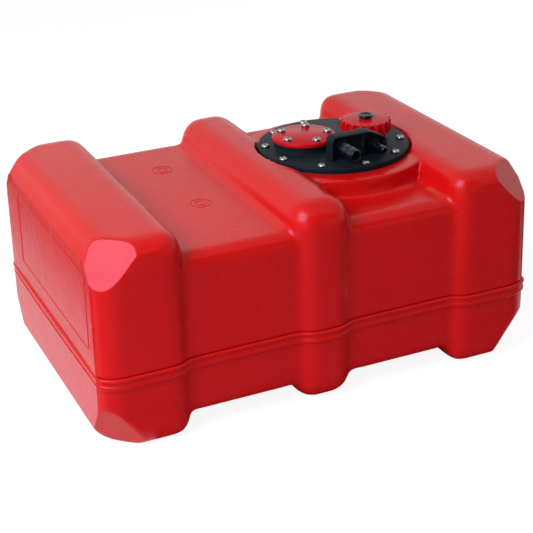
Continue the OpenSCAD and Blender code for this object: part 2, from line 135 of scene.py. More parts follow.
class ShellSizes(PropertyGroup):
    """Sizes of the moulded tank"""
    long: length("Length", "Length over the two end panels", 0.498)
    wide: length("Width", "Width over the front and back of the bands", 0.335)
    high: length("Height", "Height of the three bands", 0.224)
    wall: length("Wall", "Thickness of the moulding", 0.005)
    end_band: length("End band", "Width of each end band", 0.098)
    mid_band: length("Middle band", "Width of the middle band", 0.069)
    top_dip: length("Valley depth", "Depth of the strap valleys below the band tops", 0.0275)
    side_dip: length("Valley inset", "Depth of the strap valleys behind the band fronts", 0.009)
    foot: length("Foot", "Height of the strap valleys above the floor", 0.019)
    edge_r: length("Band edge", "Radius of the bands' edges", 0.027)
    valley_r: length("Valley edge", "Radius of the valleys' long edges", 0.015)
    lean: length("End lean", "How far the ends lean in at the top", 0.0035)
    top_cut: lengths("Top corner cut", "Reach of the cut across each top corner", (0.060, 0.052, 0.062))
    low_cut: lengths("Low corner cut", "Reach of the cut across each low corner", (0.052, 0.048, 0.071))
    panel_out: length("Panel step", "How far the flat ends stand out of the end bands", 0.0042)
    panel_rise: length("Panel rise", "How far a flat end's upper edge slopes in", 0.00845)
    panel_slope: length("Panel slope", "Height of a flat end's sloped upper edge", 0.0169)
    panel_top: length("Panel top", "Height of a flat end's upper edge", 0.2128)
    end_trim: length("End trim", "How much of each rounded end is cut away flat", 0.0022)
    bead_z: length("Bead height", "Height of the middle of the parting bead", 0.0795)
    bead_out: length("Bead step", "How far the parting bead stands out", 0.0026)
    groove: length("Groove", "Depth of the groove along the bead's upper edge", 0.0011)
    seat_r: length("Seat radius", "Radius of the raised seat under the flange", 0.103)
    pocket_r: length("Pocket radius", "Radius of the pocket that the bands leave for the plate", 0.0874)
    mouth_r: length("Mouth radius", "Radius of the opening under the plate", 0.066)
    voxel: length("Grain", "Cell size at which the blocks are melted together", 0.002)


class FlangeSizes(PropertyGroup):
    """Sizes of the service plate and what is moulded on it"""
    plate_r: length("Plate radius", "Radius of the plate", 0.0844)
    plate_t: length("Plate thickness", "Thickness of the plate", 0.005)
    collar_r: length("Collar radius", "Radius of the collar under the red disc", 0.0335)
    bore_r: length("Neck bore", "Inside radius of the filler neck", 0.019)
    neck_r: length("Neck radius", "Outside radius of the filler neck", 0.022)
    ridge: length("Neck ridge", "How far the screw ridges stand out of the neck", 0.0012)
    block_left: length("Block left", "Reach of the outlet block to the left of the plate's middle", 0.0302)
    block_right: length("Block right", "Reach of the outlet block to the right", 0.037)
    block_front: length("Block front", "Reach of the outlet block to the front", 0.0562)
    block_deep: length("Block depth", "Depth of the outlet block", 0.015)
    block_high: length("Block height", "Height of the outlet block", 0.027)
    block_low: length("Block low end", "Height of the outlet block at its right end", 0.017)
    block_bend: length("Block bend", "Where the top of the block starts to slope", 0.017)
    block_r: length("Block corner", "Radius of the block's upper corners", 0.007)
    bay_wall: length("Bay wall", "Wall round the two bays", 0.0025)
    bay_split: length("Bay split", "Middle of the wall between the bays", 0.009)
    bay_deep: length("Bay depth", "Depth of the two bays", 0.006)
    fuel_elbow_r: length("Fuel elbow", "Radius of the elbow behind the fuel tail", 0.008)
    vent_elbow_r: length("Vent elbow", "Radius of the elbow behind the vent tail", 0.006)


class FittingSizes(PropertyGroup):
    """Sizes of the cap, the disc, the screws and the hose tails"""
    cover_r: length("Disc radius", "Radius of the red disc", 0.0355)
    cap_r: length("Cap radius", "Radius of the filler cap", 0.0282)
    cap_bore_r: length("Cap bore", "Inside radius of the filler cap", 0.0242)
    cap_top_t: length("Cap top", "Thickness of the cap's top", 0.0029)
    scallops: count("Scallops", "Number of grip scallops round the cap", 18, 8, 40)
    scallop_r: length("Scallop radius", "Radius of one scallop", 0.0038)
    scallop_deep: length("Scallop depth", "Depth of one scallop", 0.0027)
    knob_r: length("Knob radius", "Radius of the vent knob", 0.0082)
    skirt_r: length("Skirt radius", "Radius of the vent knob at its foot", 0.0074)
    stem_r: length("Stem radius", "Radius of the vent knob's stem", 0.0025)
    head_r: length("Screw head", "Radius of a screw head", 0.0046)
    head_h: length("Screw head height", "Height of a screw head", 0.003)
    shank_r: length("Screw shank", "Radius of a screw's shank", 0.00245)
    flange_ring: length("Flange screw ring", "Radius of the ring of flange screws", 0.076)
    flange_screws: count("Flange screws", "Number of flange screws", 10, 4, 16)
    sender_ring: length("Disc screw ring", "Radius of the ring of disc screws", 0.027)
    sender_screws: count("Disc screws", "Number of disc screws", 5, 3, 8)
    fuel_land_r: length("Fuel tail", "Radius of the fuel tail's lands", 0.0072)
    fuel_hex: length("Fuel hexagon", "Width of the fuel tail's hexagon", 0.016)
    fuel_bore_r: length("Fuel bore", "Radius of the fuel tail's bore", 0.0046)
    vent_land_r: length("Vent tail", "Radius of the vent tail's lands", 0.0042)
    vent_hex: length("Vent hexagon", "Width of the vent tail's hexagon", 0.012)
    vent_bore_r: length("Vent bore", "Radius of the vent tail's bore", 0.0022)


class FinishColours(PropertyGroup):
    """Colours of the finishes"""
    shell_red: colour("Shell red", "Moulded tank", (0.60, 0.005, 0.004))
    cap_red: colour("Cap red", "Filler cap and disc", (0.54, 0.004, 0.008))
    black: colour("Black", "Plate, outlet block and pickup", (0.0075, 0.0135, 0.0145))
    tail_black: colour("Tail black", "Hose tails and vent knob", (0.003, 0.005, 0.008))
    steel: colour("Steel", "Screws, washers and clip", (0.33, 0.32, 0.305))
    brass: colour("Brass", "Screw inserts", (0.60, 0.40, 0.14))
    rubber: colour("Rubber", "Gaskets and seals", (0.014, 0.014, 0.015))
    natural: colour("Natural plastic", "Cap liner and strainer", (0.70, 0.68, 0.62))


class StageSettings(PropertyGroup):
    """Camera and light"""
    azimuth: angle("Azimuth", "Camera's turn round the tank, from the front", -23.92)
    elevation: angle("Elevation", "Camera's angle above the floor", 24.81)
    roll: angle("Roll", "Camera's tilt about its own axis", -1.77)
    distance: length("Distance", "Camera's distance from the tank's middle", 1.53232)
    slide: FloatProperty(name="Slide", description="Camera's move to its right", unit="LENGTH",
                         default=0.00576, precision=5)
    drop: length("Drop", "Camera's move down", 0.02077)
    focal: number("Focal length", "Focal length in pixels of the photograph", 1358.54)
    key_power: number("Key power", "Power of the large soft lamp in watts", 39.7)
    key_side: length("Key side", "Side of the large soft lamp", 1.12)
    fill_power: number("Fill power", "Power of the weak lamp before the tank in watts", 1.4)
    side_power: number("Side power", "Power of the low lamp at the right in watts", 9)
    ambient: number("Ambient", "Strength of the white surround", 0.26)


class FuelTankSettings(PropertyGroup):
    """All settings of the fuel tank"""
    shell: PointerProperty(type=ShellSizes)
    flange: PointerProperty(type=FlangeSizes)
    fittings: PointerProperty(type=FittingSizes)
    colours: PointerProperty(type=FinishColours)
    studio: PointerProperty(type=StageSettings)


def settings():
    return bpy.context.scene.fuel_tank


# Modelling by hand
def clear_selection():
    if bpy.context.object and bpy.context.object.mode != "OBJECT":
        bpy.ops.object.mode_set(mode="OBJECT")
    bpy.ops.object.select_all(action="DESELECT")


def make_active(obj):
    clear_selection()
    obj.select_set(True)
    bpy.context.view_layer.objects.active = obj


@contextmanager
def editing(obj, kind="FACE"):
    """Edit mode with nothing selected; gives the edit mesh"""
    make_active(obj)
    bpy.ops.object.mode_set(mode="EDIT")
    bpy.ops.mesh.select_mode(type=kind)
    bpy.ops.mesh.select_all(action="DESELECT")
    yield bmesh.from_edit_mesh(obj.data)
    bpy.ops.object.mode_set(mode="OBJECT")


def select_all():
    bpy.ops.mesh.select_all(action="SELECT")


def close_up():
    """Welds what an edit has left in the same place and faces everything outwards"""
    select_all()
    bpy.ops.mesh.remove_doubles(threshold=1e-6)
    bpy.ops.mesh.normals_make_consistent(inside=False)


def pick(mesh, parts, test):
    """Selects the vertices, edges or faces that pass a test"""
    for part in parts:
        part.select_set(test(part))
    mesh.select_flush_mode()


def along(edge, axis):
    """Length of an edge along an axis"""
    return abs((edge.verts[0].co - edge.verts[1].co)[axis])


def name_it(obj, name):
    obj.name = obj.data.name = name
    return obj


def settle(name):
    """Names the new object and applies the place it was given"""
    bpy.ops.object.transform_apply(location=True, rotation=True, scale=True)
    return name_it(bpy.context.object, name)


def add_block(name, low, high):
    clear_selection()
    low, high = Vector(low), Vector(high)
    bpy.ops.mesh.primitive_cube_add(size=1, location=(low + high) / 2, scale=high - low)
    return settle(name)


def add_drum(name, radius, foot, height, sides=128, axis=UP, turn=0):
    """Cylinder from a foot point, upwards or towards the front"""
    clear_selection()
    tip = 90 if axis == FRONT else 0
    bpy.ops.mesh.primitive_cylinder_add(vertices=sides, radius=radius, depth=height,
                                        location=Vector(foot) + axis * height / 2,
                                        rotation=(radians(tip), radians(turn), 0))
    return settle(name)


def new_object(name, data):
    obj = bpy.data.objects.new(name, data)
    bpy.context.scene.collection.objects.link(obj)
    return obj


def add_points(name, points, edges=(), faces=()):
    """Object from a drawn outline"""
    mesh = bpy.data.meshes.new(name)
    mesh.from_pydata([tuple(p) for p in points], edges, faces)
    return new_object(name, mesh)


def chain(points, closed=True):
    """Edges from each point to the next, and from the last to the first if closed"""
    edges = [(i, i + 1) for i in range(len(points) - 1)]
    return edges + [(len(points) - 1, 0)] if closed else edges


def rounded_outline(corners, steps=6):
    """Points round an outline of (x, y, radius) corners"""
    points = []
    for i, (x, y, radius) in enumerate(corners):
        here = Vector((x, y))
        before = (Vector(corners[i - 1][:2]) - here).normalized()
        after = (Vector(corners[(i + 1) % len(corners)][:2]) - here).normalized()
        if not radius:
            points.append(here)
            continue
        half = before.angle(after) / 2
        centre = here + (before + after).normalized() * radius / sin(half)
        start, end = (here + side * radius / tan(half) - centre for side in (before, after))
        for k in range(steps + 1):
            points.append(centre + start.lerp(end, k / steps).normalized() * radius)
    return points


def add_prism(name, outline, front, depth):
    """Outline in X and Z, drawn at the front and extruded to the back"""
    points = [(p.x, front, p.y) for p in outline]
    obj = add_points(name, points, faces=[tuple(range(len(points)))])
    with editing(obj):
        select_all()
        bpy.ops.mesh.extrude_region_move(TRANSFORM_OT_translate={"value": (0, depth, 0)})
        close_up()
    return obj


def revolve(name, profile, at, axis=UP, steps=64, closed=False):
    """Solid turned from a profile of (radius, height) points about an axis through a place"""
    points = [Vector(at) + Vector((r, 0, 0)) + axis * h for r, h in profile]
    obj = add_points(name, points, chain(points, closed))
    with editing(obj, "VERT"):
        select_all()
        bpy.ops.mesh.spin(steps=steps, angle=tau, center=at, axis=axis)
        close_up()
    return obj


def apply_modifier(obj, kind, **values):
    make_active(obj)
    modifier = obj.modifiers.new(kind, kind)
    for key, value in values.items():
        setattr(modifier, key, value)
    bpy.ops.object.modifier_apply(modifier=modifier.name)


def combine(obj, tool, operation, solver="EXACT"):
    """Boolean with a tool, which is used up"""
    apply_modifier(obj, "BOOLEAN", operation=operation, solver=solver, object=tool)
    bpy.data.objects.remove(tool)
    if not obj.data.polygons:
        raise RuntimeError(f"nothing is left of {obj.name} after the cut")


def clean(obj, near=2e-5):
    """Merges points that lie together after a cut and takes out slivers"""
    with editing(obj, "VERT"):
        select_all()
        bpy.ops.mesh.remove_doubles(threshold=near)
        bpy.ops.mesh.quads_convert_to_tris(quad_method="BEAUTY", ngon_method="BEAUTY")
        bpy.ops.mesh.dissolve_degenerate(threshold=near)


def soften(obj, width, degrees, segments):
    """Small bevel on every edge that is sharper than an angle"""
    apply_modifier(obj, "BEVEL", width=width, segments=segments, limit_method="ANGLE",
                   angle_limit=radians(degrees), use_clamp_overlap=True)


def join(name, pieces):
    make_active(pieces[0])
    for piece in pieces[1:]:
        piece.select_set(True)
    bpy.ops.object.join()
    return name_it(pieces[0], name)


def copy_of(obj, name, matrix):
    """Copy with its own mesh, moved by a matrix"""
    mesh = obj.data.copy()
    mesh.transform(matrix)
    return name_it(new_object(name, mesh), name)


def smooth(obj, degrees=40):
    make_active(obj)
    bpy.ops.object.shade_smooth_by_angle(angle=radians(degrees))


def dress(mesh, finish):
    mesh.materials.clear()
    mesh.materials.append(finish_of(finish))


def hand_over(obj, body, slot, finish, *nodes):
    """Gives a finished piece its finish, its body and the solids it stands for"""
    if not obj.data.polygons:
        raise RuntimeError(f"{obj.name} has no faces")
    dress(obj.data, finish)
    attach(obj, body)
    if nodes:
        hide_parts(*nodes)


# Finishes
NOISE_LOW, NOISE_HIGH = 0.3, 0.7  # most of a noise's values lie between these


class Nodes:
    """A material's nodes, added and joined by name"""

    def __init__(self, name):
        self.material = bpy.data.materials.new(name)
        self.material.use_nodes = True
        self.tree = self.material.node_tree
        self.shader = self.tree.nodes["Principled BSDF"]
        self.place = self.add("ShaderNodeTexCoord").outputs["Object"]

    def add(self, kind, **values):
        node = self.tree.nodes.new(kind)
        for key, value in values.items():
            if key in node.inputs:
                node.inputs[key].default_value = value
            else:
                setattr(node, key, value)
        return node

    def link(self, output, target):
        self.tree.links.new(output, target)

    def noise(self, scale, detail, roughness=0.5, stretch=None):
        place = self.place
        if stretch:
            mapping = self.add("ShaderNodeMapping", Scale=stretch)
            self.link(place, mapping.inputs["Vector"])
            place = mapping.outputs["Vector"]
        node = self.add("ShaderNodeTexNoise", Scale=scale, Detail=detail, Roughness=roughness)
        self.link(place, node.inputs["Vector"])
        return node.outputs["Fac"]

    def roughen(self, value, low, high):
        """Makes the roughness vary between two numbers"""
        node = self.add("ShaderNodeMapRange", **{"From Min": NOISE_LOW, "From Max": NOISE_HIGH,
                                                 "To Min": low, "To Max": high})
        self.link(value, node.inputs["Value"])
        self.link(node.outputs["Result"], self.shader.inputs["Roughness"])

    def tint(self, value, low, high):
        """Makes the colour vary between two colours"""
        node = self.add("ShaderNodeValToRGB")
        for stop, place, shade in zip(node.color_ramp.elements, (NOISE_LOW, NOISE_HIGH), (low, high)):
            stop.position, stop.color = place, (*shade, 1)
        self.link(value, node.inputs["Fac"])
        self.link(node.outputs["Color"], self.shader.inputs["Base Color"])

    def bumps(self, *layers):
        """Bump layers of (height, strength, depth), one on another"""
        normal = None
        for height, strength, depth in layers:
            bump = self.add("ShaderNodeBump", Strength=strength, Distance=depth)
            self.link(height, bump.inputs["Height"])
            if normal:
                self.link(normal, bump.inputs["Normal"])
            normal = bump.outputs["Normal"]
        self.link(normal, self.shader.inputs["Normal"])


def shaded(base, factor):
    return tuple(min(1, channel * factor) for channel in base)


def plastic(name, base, rough, gloss, grain, grain_deep, peel, spread):
    """Moulded plastic: slightly uneven colour and gloss, a fine grain and a soft orange peel"""
    nodes = Nodes(name)
    nodes.tint(nodes.noise(14, detail=3), shaded(base, 1 - spread), shaded(base, 1 + spread))
    nodes.roughen(nodes.noise(38, detail=4, roughness=0.6), rough - 0.02, rough + 0.03)
    nodes.bumps((nodes.noise(110, detail=1), peel, 0.001),
                (nodes.noise(grain, detail=2, roughness=0.7), grain_deep, 0.0004))
    nodes.shader.inputs["Specular IOR Level"].default_value = gloss
    return nodes.material


def brushed(name, base, rough):
    """Bright metal with fine turning marks and slight tarnish"""
    nodes = Nodes(name)
    nodes.tint(nodes.noise(300, detail=3), shaded(base, 0.86), shaded(base, 1.06))
    nodes.roughen(nodes.noise(900, detail=3), rough - 0.06, rough + 0.1)
    nodes.bumps((nodes.noise(1500, detail=2, stretch=(1, 1, 0.2)), 0.12, 0.0002))
    nodes.shader.inputs["Metallic"].default_value = 1
    return nodes.material


# Maker and material of each finish, with the rough, gloss, grain, grain_deep, peel and spread of a plastic
# or the rough of a metal
FINISHES = {
    "shell_red": (plastic, "moulded_red", 0.27, 0.21, 1400, 0.08, 0.04, 0.04),
    "cap_red": (plastic, "gloss_red", 0.20, 0.08, 1800, 0.06, 0.03, 0.05),
    "black": (plastic, "satin_black", 0.40, 0.045, 1700, 0.20, 0.04, 0.2),
    "tail_black": (plastic, "gloss_black", 0.12, 0.19, 2000, 0.06, 0.03, 0.2),
    "rubber": (plastic, "gasket_rubber", 0.70, 0.3, 2200, 0.30, 0.05, 0.25),
    "natural": (plastic, "natural_plastic", 0.48, 0.4, 1600, 0.10, 0.04, 0.05),
    "steel": (brushed, "stainless_steel", 0.26),
    "brass": (brushed, "turned_brass", 0.32),
}
finishes_made = {}


def finish_of(name):
    """A finish by its colour's name, made once"""
    if name not in finishes_made:
        make, material, *values = FINISHES[name]
        finishes_made[name] = make(material, getattr(settings().colours, name), *values)
    return finishes_made[name]


# The tank
def rounded_band(name, x0, x1, inset, segments, lean=0.0, profile=0.5):
    """Band with all its edges rounded; its outer end leans in at the top"""
    s = settings().shell
    half = s.wide / 2 - inset
    band = add_block(name, (x0 + inset, -half, inset), (x1 - inset, half, s.high - inset))
    with editing(band, "VERT") as mesh:
        if lean:
            outer = max((x0, x1), key=abs)
            pick(mesh, mesh.verts,
                 lambda v: v.co.z > s.high / 2 and abs(v.co.x - outer) < 2 * inset + TOUCH)
            bpy.ops.transform.translate(value=(-lean if outer > 0 else lean, 0, 0))
        select_all()
        bpy.ops.mesh.bevel(offset=s.edge_r - inset, segments=segments, profile=profile, affect="EDGES")
    return band


def cut_plane(side, front, top, inset):
    """A point and the outward normal of the cut across one corner"""
    s = settings().shell
    reach = Vector(s.top_cut if top > 0 else s.low_cut)
    normal = Vector((side / reach.x, front / reach.y, top / reach.z)).normalized()
    point = Vector((side * (s.long / 2 - reach.x), front * s.wide / 2, s.high if top > 0 else 0))
    return point - normal * inset, normal


def cut_flat(obj, point, normal, edge=0.0):
    """Cuts away what lies beyond a plane and rounds the cut's edge"""
    with editing(obj):
        select_all()
        bpy.ops.mesh.bisect(plane_co=point, plane_no=normal, use_fill=True, clear_outer=True)
        if edge:
            bpy.ops.mesh.bevel(offset=edge, segments=3, affect="EDGES", clamp_overlap=True)


def cut_corners(obj, side, inset, edge=0.0, tops=(-1, 1)):
    for front in (-1, 1):
        for top in tops:
            cut_flat(obj, *cut_plane(side, front, top, inset), edge)


def end_slab(side, inset):
    """Slab that makes the end below the shoulder, rounded at its sides and foot"""
    s = settings().shell
    reach, shy = 0.7, 0.0005  # share of the band it reaches into, and its gap to the band's own faces
    outer, inner = side * (s.long / 2 + s.end_trim - inset), side * (s.long / 2 - s.end_band * reach)
    foot = inset + shy
    half = s.wide / 2 - foot
    slab = add_block("end_slab", (min(outer, inner), -half, foot),
                     (max(outer, inner), half, s.panel_top - inset))
    with editing(slab, "EDGE") as mesh:
        for vertex in mesh.verts:
            vertex.co.x -= side * s.lean * vertex.co.z / s.high
        near_end = s.long / 2 - s.lean - inset
        pick(mesh, mesh.edges, lambda e: any(abs(v.co.x) > near_end for v in e.verts)
             and (along(e, 2) > 10 * TOUCH or all(v.co.z < foot + TOUCH for v in e.verts)))
        bpy.ops.mesh.bevel(offset=s.edge_r - foot, segments=12, affect="EDGES")
    shoulder = s.panel_top - s.panel_slope - inset
    with editing(slab, "VERT") as mesh:
        select_all()
        bpy.ops.mesh.bisect(plane_co=(0, 0, shoulder), plane_no=UP)
        pick(mesh, mesh.verts, lambda v: v.co.z > shoulder + TOUCH
             and abs(v.co.x) > near_end - s.edge_r)
        bpy.ops.transform.translate(value=(-side * s.panel_rise, 0, 0))
    return slab


def banded_body(name, inset=0.0, segments=12):
    """Three bands on a lower core, drawn in from the outside by the inset"""
    s = settings().shell
    half_long, half_wide = s.long / 2 - s.end_band / 2, s.wide / 2 - s.side_dip - inset
    core = add_block(name, (-half_long, -half_wide, s.foot + inset),
                     (half_long, half_wide, s.high - s.top_dip - inset))
    with editing(core, "EDGE") as mesh:
        pick(mesh, mesh.edges, lambda e: along(e, 0) > s.end_band)
        bpy.ops.mesh.bevel(offset=s.valley_r - inset, segments=segments // 2, affect="EDGES")
    end_profile = 0.62  # squarer than a round edge
    bands = [rounded_band("middle_band", -s.mid_band / 2, s.mid_band / 2, inset, segments)]
    for side in (-1, 1):
        x0, x1 = sorted((side * (s.long / 2 - s.panel_out), side * (s.long / 2 - s.end_band)))
        band = rounded_band("end_band", x0, x1, inset, segments, s.lean, end_profile)
        combine(band, end_slab(side, inset), "UNION")
        cut_corners(band, side, inset)
        bands.append(band)
    for band in bands:
        combine(core, band, "UNION")
    return core


def fade(distance, full, run):
    """1 within a full distance, falling to nothing over a run beyond it"""
    return 1 - max(0, distance - full) / run


def melt(body):
    """Melts the blocks together, with wide fillets where the bands and the seat rise"""
    s = settings().shell
    apply_modifier(body, "REMESH", mode="VOXEL", voxel_size=s.voxel, use_smooth_shade=True)
    apply_modifier(body, "SMOOTH", factor=0.5, iterations=4)
    hollows = body.vertex_groups.new(name="hollows")
    middle = FLANGE.to_2d()
    seat_zone, seat_lip = s.seat_r + 0.015, s.seat_r - 0.003
    zone_low, zone_high = s.high - s.top_dip - 0.0065, LEDGE_Z - 0.007
    for vertex in body.data.vertices:
        x, z = vertex.co.x, vertex.co.z
        step = min(abs(abs(x) - s.mid_band / 2), abs(abs(x) - (s.long / 2 - s.end_band)))
        weight = fade(step, full=0.006, run=0.007)
        ring = (vertex.co.to_2d() - middle).length
        if ring < seat_zone and z > zone_low:
            at_foot = z < zone_high and ring > seat_lip
            weight = fade(abs(ring - s.seat_r), full=0.007, run=0.006) if at_foot else 0
        if weight > 0:
            hollows.add([vertex.index], min(1, weight), "REPLACE")
    apply_modifier(body, "SMOOTH", factor=0.5, iterations=45, vertex_group="hollows")
    apply_modifier(body, "DECIMATE", decimate_type="COLLAPSE", ratio=0.42)


def turn_into(obj, kind):
    make_active(obj)
    bpy.ops.object.convert(target=kind)


def swept_round(name, body, height, half):
    """Section, given by its outer half, swept round the body's own outline at one height"""
    path = copy_of(body, name, Matrix.Identity(4))
    with editing(path, "VERT"):
        select_all()
        bpy.ops.mesh.bisect(plane_co=(0, 0, height), plane_no=UP, clear_inner=True, clear_outer=True)
        select_all()
        bpy.ops.mesh.remove_doubles(threshold=0.0008)
        bpy.ops.mesh.vertices_smooth(factor=0.5, repeat=3)
    section = half + [(-x, y) for x, y in reversed(half)]
    shape = add_points("section", [(x, y, 0) for x, y in section], chain(section))
    turn_into(shape, "CURVE")
    turn_into(path, "CURVE")
    path.data.dimensions = "3D"
    path.data.twist_mode = "Z_UP"
    path.data.bevel_mode = "OBJECT"
    path.data.bevel_object = shape
    turn_into(path, "MESH")
    bpy.data.objects.remove(shape)
    with editing(path, "VERT"):
        close_up()
    return path


def parting_bead(body):
    """Bead with two ridges round the parting line, and a fine groove cut along its upper edge"""
    s = settings().shell
    out, low = s.bead_out, s.bead_out - 0.0004
    groove_rise = 0.0071
    bead = swept_round("parting_bead", body, s.bead_z, [
        (0.0003, -0.0066), (low - 0.0005, -0.0059), (low, -0.0050), (low, -0.0026), (low - 0.0005, -0.0017),
        (out - 0.0013, -0.0013), (out - 0.0013, 0.0026), (out - 0.0005, 0.0030), (out, 0.0039),
        (out, 0.0052), (out - 0.0005, 0.0060), (0.0003, 0.0066)])
    groove = swept_round("groove", body, s.bead_z + groove_rise, [
        (s.groove, -0.0008), (s.groove, 0.0004), (s.groove * 0.4, 0.0009)])
    combine(body, groove, "DIFFERENCE", "MANIFOLD")
    return bead


def moulded_line(name, points):
    """Thin raised line moulded along a closed path"""
    line = add_points(name, points, chain(points))
    turn_into(line, "CURVE")
    line.data.bevel_depth = LINE_R
    line.data.bevel_resolution = 2
    turn_into(line, "MESH")
    return line


class FUELTANK_OT_shell(Operator):
    """Moulded tank with its bands, corner cuts, seat, end panels, parting bead and hollow inside"""
    bl_idname = "fuel_tank.shell"
    bl_label = "Moulded tank"

    def execute(self, context):
        s = settings().shell
        body = banded_body("tank_moulding")
        x, y = FLANGE.to_2d()
        seat_root, pocket_high = 0.0165, 0.02
        seat_foot = s.high - s.top_dip - seat_root
        seat = add_drum("seat", s.seat_r, (x, y, seat_foot), LEDGE_Z - seat_foot, 160)
        combine(body, seat, "UNION")
        pocket = add_drum("pocket", s.pocket_r, (x, y, LEDGE_Z), pocket_high, 160)
        combine(body, pocket, "DIFFERENCE")
        melt(body)
        for side in (-1, 1):
            cut_flat(body, (side * s.long / 2, 0, 0), (side, 0, s.lean / s.high))
            cut_corners(body, side, inset=0.0004, edge=0.0012, tops=(1,))
        bead = parting_bead(body)
        cavity = banded_body("hollow", inset=s.wall, segments=6)
        mouth = add_drum("mouth", s.mouth_r, (x, y, s.high / 2), s.high, 96)
        combine(cavity, mouth, "UNION")
        combine(body, cavity, "DIFFERENCE", "MANIFOLD")
        clean(body)
        smooth(bead)
        smooth(body)
        apply_modifier(body, "WEIGHTED_NORMAL", keep_sharp=True)
        tank = join("tank_moulding", [body, bead, *self.mould_marks(s)])
        hand_over(tank, "tank", "red_shell", "shell_red", "tank_shell")
        return {"FINISHED"}

    def mould_marks(self, s):
        """Plain border on the left end and plain rings in the left valley"""
        border = rounded_outline([(*corner, BORDER_R) for corner in BORDER])
        end = [(-s.long / 2 + s.lean * p.y / s.high, p.x, p.y) for p in border]
        marks = [moulded_line("border", end)]
        valley = s.high - s.top_dip
        turns = [tau * i / RING_STEPS for i in range(RING_STEPS)]
        for x, y in MOULD_RINGS:
            for radius in RING_RADII:
                ring = [(x + radius * cos(turn), y + radius * sin(turn), valley) for turn in turns]
                marks.append(moulded_line("ring", ring))
        for mark in marks:
            smooth(mark, 60)
        return marks


# The service flange
class FUELTANK_OT_flange(Operator):
    """Black service plate with the disc's collar, the filler neck and the outlet block"""
    bl_idname = "fuel_tank.flange"
    bl_label = "Service plate"

    def execute(self, context):
        f = settings().flange
        top = PLATE_Z + f.plate_t
        sink, collar_bore, ridge_drops = 0.001, 0.020, (0.008, 0.0032)
        plate = revolve("service_plate", [
            (0, PLATE_Z), (f.plate_r - 0.0006, PLATE_Z), (f.plate_r, PLATE_Z + 0.0006),
            (f.plate_r, top - 0.0012), (f.plate_r - 0.0004, top - 0.0004), (f.plate_r - 0.0012, top),
            (0, top)], FLANGE, steps=144)
        bore = add_drum("bore", f.bore_r, FILLER + UP * (PLATE_Z - 10 * OVER), 30 * OVER)
        combine(plate, bore, "DIFFERENCE")
        collar = revolve("collar", [
            (collar_bore, top - sink), (f.collar_r + 0.0015, top - sink), (f.collar_r + 0.0015, top),
            (f.collar_r + 0.0004, top + 0.0005), (f.collar_r, top + 0.0016), (f.collar_r, COLLAR_Z),
            (collar_bore, COLLAR_Z)], SENDER, steps=96, closed=True)
        neck_profile = [(f.bore_r, PLATE_Z), (f.neck_r, PLATE_Z)]
        for drop in ridge_drops:
            z = NECK_Z - drop
            neck_profile += [(f.neck_r, z), (f.neck_r + f.ridge, z + 0.0004),
                             (f.neck_r + f.ridge, z + 0.0012), (f.neck_r, z + 0.0016)]
        neck_profile += [(f.neck_r, NECK_Z - 0.0005), (f.neck_r - 0.0005, NECK_Z),
                         (f.bore_r + 0.0004, NECK_Z), (f.bore_r, NECK_Z - 0.0004)]
        neck = revolve("filler_neck", neck_profile, FILLER, steps=96, closed=True)
        block = self.outlet_block(f, top, sink)
        for piece in (plate, collar, neck):
            smooth(piece)
        flange = join("service_plate", [plate, collar, neck, block])
        hand_over(flange, "tank", "black_plastic", "black", "flange_plate")
        return {"FINISHED"}

    def outlet_block(self, f, top, sink):
        """Upright block with two open bays and an elbow behind each tail"""
        front, deep = FLANGE.y - f.block_front, f.block_deep
        left, right = FLANGE.x - f.block_left, FLANGE.x + f.block_right
        bend, split = FLANGE.x + f.block_bend, FLANGE.x + f.bay_split
        high, low = top + f.block_high, top + f.block_low
        block = add_prism("outlet_block", rounded_outline([
            (left, top - sink, 0), (right, top - sink, 0), (right, low, f.block_r),
            (bend, high, f.block_r * 2), (left, high, f.block_r)]), front, deep)
        wall, inner, split_r = f.bay_wall, f.block_r - f.bay_wall, 0.002
        slope = (low - high) / (right - bend)
        drop, foot = wall * 1.12, top - 2 * sink
        for bay in ([(left + wall, foot, 0), (split - wall / 2, foot, 0),
                     (split - wall / 2, high - wall, split_r), (left + wall, high - wall, inner)],
                    [(split + wall / 2, foot, 0), (right - wall, foot, 0),
                     (right - wall, low - drop - slope * wall, inner), (bend, high - drop, f.block_r),
                     (split + wall / 2, high - drop, split_r)]):
            tool = add_prism("bay", rounded_outline(bay), front - 2 * OVER, f.bay_deep + 2 * OVER)
            combine(block, tool, "DIFFERENCE")
        soften(block, width=0.0011, degrees=40, segments=4)
        smooth(block, 35)
        for tail, radius in ((FUEL_TAIL, f.fuel_elbow_r), (VENT_TAIL, f.vent_elbow_r)):
            crown = tail.z + radius
            elbow = revolve("elbow", [
                (0, top - sink), (radius, top - sink), (radius, crown - 0.002),
                (radius - 0.0006, crown - 0.0006), (radius - 0.002, crown), (0, crown)],
                (tail.x, front + deep, 0), steps=48)
            smooth(elbow)
            block = join("outlet_block", [block, elbow])
        return block


class FUELTANK_OT_disc(Operator):
    """Red disc that blanks the sender opening"""
    bl_idname = "fuel_tank.disc"
    bl_label = "Sender disc"

    def execute(self, context):
        f = settings().fittings
        low, high = ends_of("sender_cover")
        disc = revolve("sender_disc", [
            (0, low), (f.cover_r - 0.0006, low), (f.cover_r, low + 0.0006), (f.cover_r, high - 0.0014),
            (f.cover_r - 0.0004, high - 0.0005), (f.cover_r - 0.0013, high), (0, high)], SENDER, steps=128)
        smooth(disc)
        hand_over(disc, "tank", "red_cap", "cap_red", "sender_cover")
        return {"FINISHED"}


